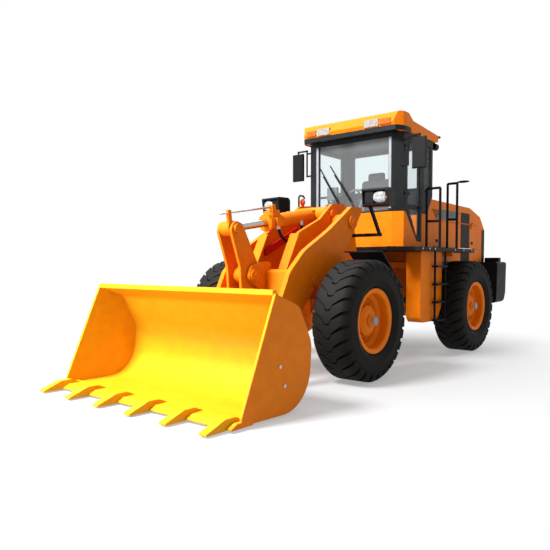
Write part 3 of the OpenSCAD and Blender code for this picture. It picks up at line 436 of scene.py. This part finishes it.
def cab_trim():
    """Pale strips on the front pillars as a painted highlight, and the wipers."""
    _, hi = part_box("cab_frame")
    g_lo, g_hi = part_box("cab_glass")
    front = hi.x
    # The strips paint the highlight on the pillars' front faces.
    highlight_y = (0.555, 0.592)
    strips = bmesh.new()
    for _, side in SIDES:
        add_block(strips, (front - 0.001, side * highlight_y[0], g_lo.z + 0.02),
                  (front + 0.006, side * highlight_y[1], g_hi.z), 0.002)
    piece("pillar_highlight_strips", strips, "rear", "cab_grey", PALE_AND_HIGHLIGHT)
    arm_r, blade_r, hub_r = 0.007, 0.009, 0.022
    beside = Vector((0, 0.02, 0))
    wipers = bmesh.new()
    for foot_y, tip_y in ((0.10, -0.28), (-0.12, -0.47)):
        foot = Vector((front + 0.020, foot_y, g_lo.z - 0.02))
        tip = Vector((front + 0.012, tip_y, g_lo.z + 0.52))
        arm = tip - foot
        add_rod(wipers, foot, tip, arm_r, 10)
        add_rod(wipers, foot + arm * 0.35 + beside, tip + arm * 0.25 + beside, blade_r, 8)
        add_rod(wipers, foot - Vector((0.03, 0, 0)), foot + Vector((0.012, 0, 0)), hub_r, 16)
    piece("wipers", wipers, "rear", "black_paint")


def consoles():
    """The consoles with the screen's stalk, and two levers by the arm rest."""
    blocks = bmesh.new()
    for xs, ys, zs, edge in CONSOLES:
        lo, hi = [at(CAB_FRONT + x, y, z) for x, y, z in zip(xs, ys, zs)]
        add_block(blocks, lo, hi, edge)
    stalk_x, stalk_y, stalk_r = CAB_FRONT - 0.15, -0.43, 0.014
    add_rod(blocks, at(stalk_x, stalk_y, CONSOLE_TOP), at(stalk_x, stalk_y, 2.18), stalk_r)
    piece("cab_consoles", blocks, "rear", "dark_plastic")
    y, foot, top, lever_r = -0.35, 2.05, 2.17, 0.009
    knob = (0.022, 0.022, 0.034)
    levers = bmesh.new()
    for x in (CAB_FRONT - 0.31, CAB_FRONT - 0.37):
        add_rod(levers, at(x, y, foot), at(x + 0.015, y, top), lever_r)
        add_ball(levers, at(x + 0.017, y, top + 0.02), knob, 16, 10)
    piece("cab_levers", levers, "rear", "black_paint", smooth=True)


def cab_outside():
    """The door's handle and the mirrors' faces."""
    handle_lo, handle_hi = at(-1.790, 0.738, 2.000), at(-1.700, 0.764, 2.026)
    handle = bmesh.new()
    add_block(handle, handle_lo, handle_hi, 0.006)
    piece("cab_door_handle", handle, "cab_door", "black_paint")
    mirror_x, mirror_y, mirror_z = CAB_FRONT - 0.071, (0.880, 1.030), (2.478, 2.832)
    faces = bmesh.new()
    for _, side in SIDES:
        add_block(faces, at(mirror_x - 0.005, side * mirror_y[0], mirror_z[0]),
                  at(mirror_x, side * mirror_y[1], mirror_z[1]), 0.002)
    piece("mirror_faces", faces, "rear", "clear_glass", MIRROR)


def seat():
    """A base with three cushions in place of the plain seat."""
    lo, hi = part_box("seat")
    base_y, cushion_y, back_y, head_y = 0.17, 0.24, 0.23, 0.13
    base_top, cushion_top = lo.z + 0.38, lo.z + 0.50
    base = bmesh.new()
    add_block(base, (lo.x + 0.10, -base_y, lo.z), (hi.x - 0.08, base_y, base_top), 0.01)
    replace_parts(piece("seat_base", base, "rear", "dark_plastic"), "seat")
    pad("seat_cushion", (lo.x + 0.05, -cushion_y, base_top - 0.01),
        (hi.x, cushion_y, cushion_top), "rear", "seat_cover")
    pad("seat_back", (lo.x, -back_y, cushion_top), (lo.x + 0.12, back_y, hi.z - 0.10),
        "rear", "seat_cover")
    pad("seat_head", (lo.x + 0.01, -head_y, hi.z - 0.12), (lo.x + 0.10, head_y, hi.z),
        "rear", "seat_cover", crown=0.012)


# Wheels

BARS = 28
# Half of a tread bar from the middle to the shoulder:
# radius, across, lead around the wheel, gap to the next bar, depth
BAR_LINE = (
    (TYRE_R, 0.000, 0.000, 0.018, 0.032), (TYRE_R, 0.030, 0.010, 0.018, 0.032),
    (TYRE_R, 0.052, 0.056, 0.018, 0.032), (TYRE_R, 0.100, 0.086, 0.026, 0.032),
    (TYRE_R, 0.156, 0.118, 0.034, 0.032), (0.640, 0.178, 0.128, 0.038, 0.030),
    (0.615, 0.205, 0.140, 0.042, 0.022), (0.585, 0.2135, 0.148, 0.048, 0.010),
    (0.560, 0.2160, 0.152, 0.054, 0.000))
# Half of the carcass under the bars, with the rings moulded in its side: radius, across
CARCASS = (
    (0.623, 0.000), (0.623, 0.158), (0.612, 0.178), (0.596, 0.192), (0.570, 0.2085),
    (0.548, 0.2145), (0.546, 0.2180), (0.538, 0.2180), (0.536, 0.2160), (0.490, 0.2200),
    (0.445, 0.2190), (0.442, 0.2215), (0.434, 0.2215), (0.431, 0.2170), (0.405, 0.2080),
    (0.385, 0.1970), (0.368, 0.1850), (0.355, 0.1655), (0.333, 0.1650))


def mirrored(half):
    """A whole line across the tyre from its half, whose second value is the place across."""
    return [(r, -y, *rest) for r, y, *rest in reversed(half)] + list(half[1:])


def tyre(node, body, side):
    """A tyre with V bars across its tread, in place of the plain one."""
    lo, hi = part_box(node)
    middle = (lo + hi) / 2
    steps, cuts = 112, 4                # around the carcass, and along the top of a bar
    sink, inward = 0.004, 0.010         # how far a bar's foot is let into the carcass
    shoulder, crease = 0.17, 0.6
    bm = bmesh.new()

    def spot(r, y, a):
        return bm.verts.new(middle + Vector((r * math.cos(a), side * y, r * math.sin(a))))

    outline = mirrored(CARCASS)
    rings = [[spot(r, y, 2 * math.pi * k / steps) for r, y in outline] for k in range(steps)]
    for k in range(steps):
        a, b = rings[k], rings[(k + 1) % steps]
        for i in range(len(outline) - 1):
            bm.faces.new((a[i], a[i + 1], b[i + 1], b[i]))
    line = mirrored(BAR_LINE)
    pitch = 2 * math.pi * TYRE_R / BARS
    for n in range(BARS):
        tops, feet = [], []
        for r, y, lead, gap, deep in line:
            start = n * pitch + lead + gap / 2
            along = [(start + (pitch - gap) * k / cuts) / TYRE_R for k in range(cuts + 1)]
            foot_y = y - math.copysign(inward, y) if abs(y) > shoulder else y
            tops.append([spot(r, y, a) for a in along])
            feet.append([spot(r - deep - sink, foot_y, a) for a in (along[0], along[-1])])
        for row in range(len(line) - 1):
            for k in range(cuts):
                bm.faces.new((tops[row][k], tops[row][k + 1],
                              tops[row + 1][k + 1], tops[row + 1][k]))
            for k in (0, -1):
                bm.faces.new((tops[row][k], tops[row + 1][k], feet[row + 1][k], feet[row][k]))
    bmesh.ops.recalc_face_normals(bm, faces=bm.faces)
    for edge in bm.edges:
        edge.smooth = edge.calc_face_angle(0.0) < crease
    o = piece(node + "_treaded", bm, body, "tyre_rubber", smooth=True)
    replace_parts(o, node)


def wheel_details():
    """Nuts, tyre and hub cap of each wheel."""
    bolts, bolt_circle = 14, 0.212
    nut_foot, nut_high, nut_r = WHEEL_Y + 0.008, 0.022, 0.013
    cap_r, cap_half = 0.048, 0.004
    for end in ("front", "rear"):
        for name, side in SIDES:
            body = f"wheel_{end}_{name}"
            lo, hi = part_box(f"rim_{end}_{name}")
            middle = (lo + hi) / 2
            nuts = bmesh.new()
            for k in range(bolts):
                a = 2 * math.pi * k / bolts
                p = middle + Vector((math.cos(a) * bolt_circle, 0, math.sin(a) * bolt_circle))
                p.y = side * nut_foot
                add_rod(nuts, p, p + Vector((0, side * nut_high, 0)), nut_r, 6)
            tyre(f"tyre_{end}_{name}", body, side)
            piece(f"wheel_nuts_{end}_{name}", nuts, body, "orange_paint")
            cap = bmesh.new()
            face = Vector((middle.x, hi.y if side > 0 else lo.y, middle.z))
            half = Vector((0, side * cap_half, 0))
            add_rod(cap, face - half, face + half, cap_r, 32)
            piece(f"hub_cap_{end}_{name}", cap, body, "orange_paint", PALE_AND_HIGHLIGHT)


# Arm

TILT_BASE, TILT_PIN = at(-0.400, 0, 1.865), at(1.0832, 0, 1.6288)
TILT_WAY = (TILT_PIN - TILT_BASE).normalized()
TILT_UP = Vector((-TILT_WAY.z, 0, TILT_WAY.x))
TILT_AXES = Matrix((TILT_WAY, (0, 1, 0), TILT_UP)).transposed().to_4x4()
TILT_TURN = Matrix.Translation(TILT_BASE) @ TILT_AXES
PROP_REAR, PROP_FRONT = at(-0.330, -0.206, 1.690), at(0.300, -0.206, 1.395)
LEVER_X, LEVER_Z = 0.870, 1.150   # the lever's hub


def by_tilt(along, y, up):
    """A point beside the tilt cylinder, from its base pin along its axis."""
    return TILT_TURN @ Vector((along, y, up))


def prop_bar():
    """The red bar on the right tower plate."""
    half_y, half_z = 0.020, 0.042
    way = PROP_REAR - PROP_FRONT
    turn = way.to_track_quat("X", "Z").to_matrix().to_4x4()
    bar = bmesh.new()
    add_block(bar, (0, -half_y, -half_z), (way.length, half_y, half_z), 0.006,
              Matrix.Translation(PROP_FRONT) @ turn)
    piece("prop_bar", bar, "front", "orange_paint", RED)


def arm_details():
    """Caps on the lever's hub, and paint on the eye of the tilt rod."""
    caps = bmesh.new()
    for _, side in SIDES:
        for y0, y1, r, sides in ((0.176, 0.186, 0.058, 32), (0.184, 0.196, 0.026, 24)):
            add_rod(caps, at(LEVER_X, side * y0, LEVER_Z), at(LEVER_X, side * y1, LEVER_Z), r, sides)
    piece("lever_caps", caps, "bell_crank", "orange_paint")
    half, eye_r = Vector((0, 0.066, 0)), 0.0795
    eye = bmesh.new()
    add_rod(eye, TILT_PIN - half, TILT_PIN + half, eye_r, 48)
    piece("tilt_rod_eye", eye, "tilt_rod", "orange_paint")


def level_gauge():
    """The thin rod over the tilt cylinder that shows when the bucket lies flat."""
    y, up, rod_r = 0.05, 0.165, 0.011
    gauge = bmesh.new()
    add_rod(gauge, by_tilt(0.80, y, up), by_tilt(1.655, y, up), rod_r)
    piece("level_rod", gauge, "tilt_rod", "bright_rod", STEEL, smooth=True)
    post = bmesh.new()
    add_block(post, (1.512, y - 0.020, up - 0.105), (1.560, y + 0.020, up + 0.030), 0.004,
              TILT_TURN)
    piece("level_post", post, "tilt_rod", "orange_paint")
    guide = bmesh.new()
    add_block(guide, (0.815, y - 0.030, up - 0.047), (0.875, y + 0.030, up + 0.025), 0.004,
              TILT_TURN)
    piece("level_guide", guide, "tilt_barrel", "orange_paint")


def tilt_hose():
    """Rubber over the hose of the part's source, with its end fittings."""
    middle, bend, y, top = 0.581, 0.220, 0.069, -0.040
    hose_r, fitting_r, steps = 0.0172, 0.025, 24
    turn = [math.pi * k / steps for k in range(steps + 1)]
    path = [by_tilt(middle + bend * math.cos(a), y, top - bend * math.sin(a)) for a in turn]
    tube("tilt_hose", path, hose_r, "tilt_barrel", "black_paint", HOSE)
    ends = bmesh.new()
    for along in (middle + bend, middle - bend):
        add_rod(ends, by_tilt(along, y, top + 0.010), by_tilt(along, y, top - 0.045), fitting_r, 6)
    piece("hose_fittings", ends, "tilt_barrel", "bright_rod", STEEL)


def bucket_details():
    """Bolt heads on the side plates."""
    bolts, head_r = ((1.763, 0.426), (1.706, 0.260)), 0.016
    heads = bmesh.new()
    for _, side in SIDES:
        for x, z in bolts:
            add_rod(heads, at(x, side * (BUCKET_SIDE - 0.002), z),
                    at(x, side * (BUCKET_SIDE + 0.007), z), head_r, 20)
    piece("bucket_bolts", heads, "bucket", "bucket_paint", STEEL)


def front_beacon():
    """A small amber lamp in a guard loop on the right tower."""
    x, y, foot = -0.475, -0.245, 1.96
    guard_x, guard_top, guard_r = -0.40, 2.125, 0.011
    loop = [at(guard_x, y, foot), at(guard_x, y, guard_top), at(x - 0.025, y, guard_top),
            at(x - 0.040, y, guard_top - 0.035)]
    tube("beacon_guard", loop, guard_r, "front", "black_paint")
    bulb, stem_r = (0.036, 0.036, 0.045), 0.022
    lamp = bmesh.new()
    add_ball(lamp, at(x, y, foot + 0.085), bulb)
    add_rod(lamp, at(x, y, foot + 0.005), at(x, y, foot + 0.06), stem_r)
    piece("front_beacon", lamp, "front", "lamp_lens", AMBER, smooth=True)


# Hood and tail

BAND_X, DOOR_BAND_Z = (-3.790, -3.445), (1.520, 1.890)
VENT_X, VENT_Z, VENT_FACE, VENT_LEAN = (-3.190, -2.500), (1.925, 2.072), 0.624, -0.210
SLATS, SLAT_PITCH, SLAT_LONG, SLAT_HIGH, SLAT_FACE = 6, 0.022, 0.650, 0.010, 0.631


def hood_plate(bm, side, xs, zs):
    """A thin plate on the hood's side."""
    add_block(bm, at(xs[0], side * HOOD_IN, zs[0]), at(xs[1], side * HOOD_OUT, zs[1]), 0.002)


def slanted(bm, x0, x1, y0, y1, z0, z1, lean):
    """A flat plate whose top is moved forward by lean."""
    corners = [(x0, z0), (x1, z0), (x1 + lean, z1), (x0 + lean, z1)]
    rings = [[bm.verts.new(at(x, y, z)) for x, z in corners] for y in (y0, y1)]
    for ring in rings:
        bm.faces.new(ring)
    for k in range(4):
        n = (k + 1) % 4
        bm.faces.new((rings[0][k], rings[0][n], rings[1][n], rings[1][k]))


def hood_bands(name, side):
    """A dark band above, below and on the hood's door, and another by the rear corner."""
    trim = bmesh.new()
    for zs in ((1.305, 1.500), (1.912, 2.075)):
        hood_plate(trim, side, BAND_X, zs)
    add_block(trim, at(-4.452, side * 0.585, 1.305), at(-4.340, side * 0.626, 1.840), 0.004)
    piece(f"hood_band_{name}", trim, "rear", "black_paint")
    band = bmesh.new()
    hood_plate(band, side, BAND_X, DOOR_BAND_Z)
    piece(f"hood_door_band_{name}", band, f"hood_door_{name}", "black_paint")


def hood_vent(name, side):
    """A slanted dark plate with slats, below the hood's top edge; the plate's darkness is painted
    shade of the vent's recess.
    """
    vent = bmesh.new()
    slanted(vent, *VENT_X, side * HOOD_IN, side * VENT_FACE, *VENT_Z, VENT_LEAN)
    for k in range(SLATS):
        x, z = VENT_X[0] - 0.031 * k, VENT_Z[0] + 0.017 + SLAT_PITCH * k
        slanted(vent, x, x + SLAT_LONG, side * (VENT_FACE - 0.0005), side * SLAT_FACE,
                z, z + SLAT_HIGH, -0.014)
    piece(f"hood_vent_{name}", vent, "rear", "dark_plastic")


def hood_latches(name, side):
    """Two latches on the hood's door."""
    half, low, high, out = 0.035, 1.585, 1.625, 0.630
    latches = bmesh.new()
    for x in (-2.560, -3.900):
        add_block(latches, at(x - half, side * HOOD_IN, low), at(x + half, side * out, high), 0.004)
    piece(f"hood_latches_{name}", latches, f"hood_door_{name}", "black_paint")


def tail_lamps():
    """A dark box with two red lamps on each side of the tail."""
    box_x, box_y, box_z = (-4.545, -4.430), (0.640, 0.880), (1.296, 1.372)
    lamps_y, lamp_z, lamp_r = (0.700, 0.820), 1.336, 0.027
    boxes = bmesh.new()
    reds = bmesh.new()
    for _, side in SIDES:
        lo, hi = [at(x, side * y, z) for x, y, z in zip(box_x, box_y, box_z)]
        add_block(boxes, lo, hi, 0.006)
        for y in lamps_y:
            add_rod(reds, at(box_x[0] + 0.010, side * y, lamp_z),
                    at(box_x[0] - 0.011, side * y, lamp_z), lamp_r, 24)
    piece("tail_lamp_boxes", boxes, "rear", "black_paint")
    piece("tail_lamps", reds, "rear", "lamp_lens", TAIL)


def deck_details():
    """Bolt heads along the deck's edge, and pads on the rails' top corners."""
    bolts_x, bolt_z, head_r = (-1.30, -1.50, -1.66, -2.30, -2.60, -2.90), 1.460, 0.013
    heads = bmesh.new()
    for _, side in SIDES:
        for x in bolts_x:
            add_rod(heads, at(x, side * (DECK_EDGE - 0.002), bolt_z),
                    at(x, side * (DECK_EDGE + 0.008), bolt_z), head_r, 6)
    piece("deck_bolts", heads, "rear", "bright_rod", STEEL)
    x, y, z = -2.404, 1.075, 2.402
    pads = bmesh.new()
    for _, side in SIDES:
        add_ball(pads, at(x, side * y, z), (0.050, 0.090, 0.016), 24, 10)
    piece("rail_pads", pads, "rear", "black_paint", smooth=True)


dress_frame()
headlamps()
roof_edge()
roof_markers()
roof_rear()
cab_trim()
consoles()
cab_outside()
seat()
wheel_details()
prop_bar()
arm_details()
level_gauge()
tilt_hose()
bucket_details()
front_beacon()
for side_name, side_sign in SIDES:
    hood_bands(side_name, side_sign)
    hood_vent(side_name, side_sign)
    hood_latches(side_name, side_sign)
tail_lamps()
deck_details()


# Studio

def floor():
    """A pale floor that keeps the shadow and turns plain white away from the machine."""
    bpy.ops.mesh.primitive_plane_add(size=60, location=(0.6, 0, 0))
    ground = bpy.context.object
    ground.name = "floor"
    white = simple("floor", (0.24, 0.24, 0.24), rough=0.8, scale=0.5, spread=0.01, bump=0.0)
    nodes, links = white.node_tree.nodes, white.node_tree.links
    shade = nodes["Principled BSDF"]
    shade.inputs["Emission Color"].default_value = (1, 1, 1, 1)
    shade.inputs["Emission Strength"].default_value = 0.32
    coord = nodes.new("ShaderNodeTexCoord")
    oval = nodes.new("ShaderNodeVectorMath")
    oval.operation = "MULTIPLY"
    oval.inputs[1].default_value = (0.75, 1.0, 0.0)
    links.new(coord.outputs["Object"], oval.inputs[0])
    away = nodes.new("ShaderNodeVectorMath")
    away.operation = "LENGTH"
    links.new(oval.outputs["Vector"], away.inputs[0])
    fade = nodes.new("ShaderNodeMapRange")
    fade.interpolation_type = "SMOOTHSTEP"
    fade.inputs["From Min"].default_value = 1.6
    fade.inputs["From Max"].default_value = 4.2
    links.new(away.outputs["Value"], fade.inputs["Value"])
    plain = nodes.new("ShaderNodeEmission")
    plain.inputs["Strength"].default_value = 1.0
    mix = nodes.new("ShaderNodeMixShader")
    links.new(fade.outputs["Result"], mix.inputs["Fac"])
    links.new(shade.outputs["BSDF"], mix.inputs[1])
    links.new(plain.outputs["Emission"], mix.inputs[2])
    links.new(mix.outputs["Shader"], nodes["Material Output"].inputs["Surface"])
    ground.data.materials.append(white)


def backdrop():
    """White to the eye, and as light brighter from the right and above than from the left."""
    world = bpy.data.worlds.new("studio")
    bpy.context.scene.world = world
    world.use_nodes = True
    nodes, links = world.node_tree.nodes, world.node_tree.links
    back = nodes["Background"]
    back.inputs["Color"].default_value = (1.0, 1.0, 1.0, 1)
    coord = nodes.new("ShaderNodeTexCoord")
    facing = nodes.new("ShaderNodeVectorMath")
    facing.operation = "DOT_PRODUCT"
    facing.inputs[1].default_value = Vector((-0.30, -0.85, 0.43)).normalized()
    links.new(coord.outputs["Generated"], facing.inputs[0])
    ramp = nodes.new("ShaderNodeMapRange")
    ramp.inputs["From Min"].default_value = -0.55
    ramp.inputs["From Max"].default_value = 0.45
    ramp.inputs["To Min"].default_value = 0.52
    ramp.inputs["To Max"].default_value = 1.0
    links.new(facing.outputs["Value"], ramp.inputs["Value"])
    rays = nodes.new("ShaderNodeLightPath")
    strength = ramp.outputs["Result"]
    for kind in ("Is Camera Ray", "Is Glossy Ray", "Is Transmission Ray"):
        most = nodes.new("ShaderNodeMath")
        most.operation = "MAXIMUM"
        links.new(strength, most.inputs[0])
        links.new(rays.outputs[kind], most.inputs[1])
        strength = most.outputs[0]
    links.new(strength, back.inputs["Strength"])


# name, place, aim, size, power
LIGHTS = (
    ("key", (8.6, -2.0, 9.3), (1.2, 0, 0.6), (3, 3), 3600),
    ("bucket", (6.2, -1.4, 1.7), (2.7, 0, 0.5), (2, 1), 180),
    ("top", (-1.0, -3.5, 8.5), (-0.5, -0.5, 1.0), (7, 3), 300))


def lights():
    for name, place, aim, size, power in LIGHTS:
        light = bpy.data.lights.new(name, "AREA")
        light.shape = "RECTANGLE"
        light.size, light.size_y = size
        light.energy = power
        o = bpy.data.objects.new(name, light)
        o.location = place
        o.rotation_euler = (Vector(aim) - Vector(place)).to_track_quat("-Z", "Y").to_euler()
        o.visible_camera = False
        bpy.context.collection.objects.link(o)


# The camera that was fitted to the photograph
PHOTO_PX, FOCAL_PX, AXIS_PX = 550, 574.68, (290.28, 288.77)
EYE = (5.333, 4.232, 1.264)
YAW, PITCH = math.radians(180 + 38.838), math.radians(-2.468)


def camera():
    data = bpy.data.cameras.new("camera")
    data.sensor_width = 36
    data.lens = 36 * FOCAL_PX / PHOTO_PX
    data.shift_x = -(AXIS_PX[0] - PHOTO_PX / 2) / PHOTO_PX
    data.shift_y = (AXIS_PX[1] - PHOTO_PX / 2) / PHOTO_PX
    o = bpy.data.objects.new("camera", data)
    o.location = at(*EYE)
    flat = math.cos(PITCH)
    look = Vector((math.cos(YAW) * flat, math.sin(YAW) * flat, math.sin(PITCH)))
    o.rotation_euler = look.to_track_quat("-Z", "Y").to_euler()
    bpy.context.collection.objects.link(o)
    bpy.context.scene.camera = o


floor()
backdrop()
lights()
camera()
bpy.context.scene.view_settings.view_transform = "Standard"
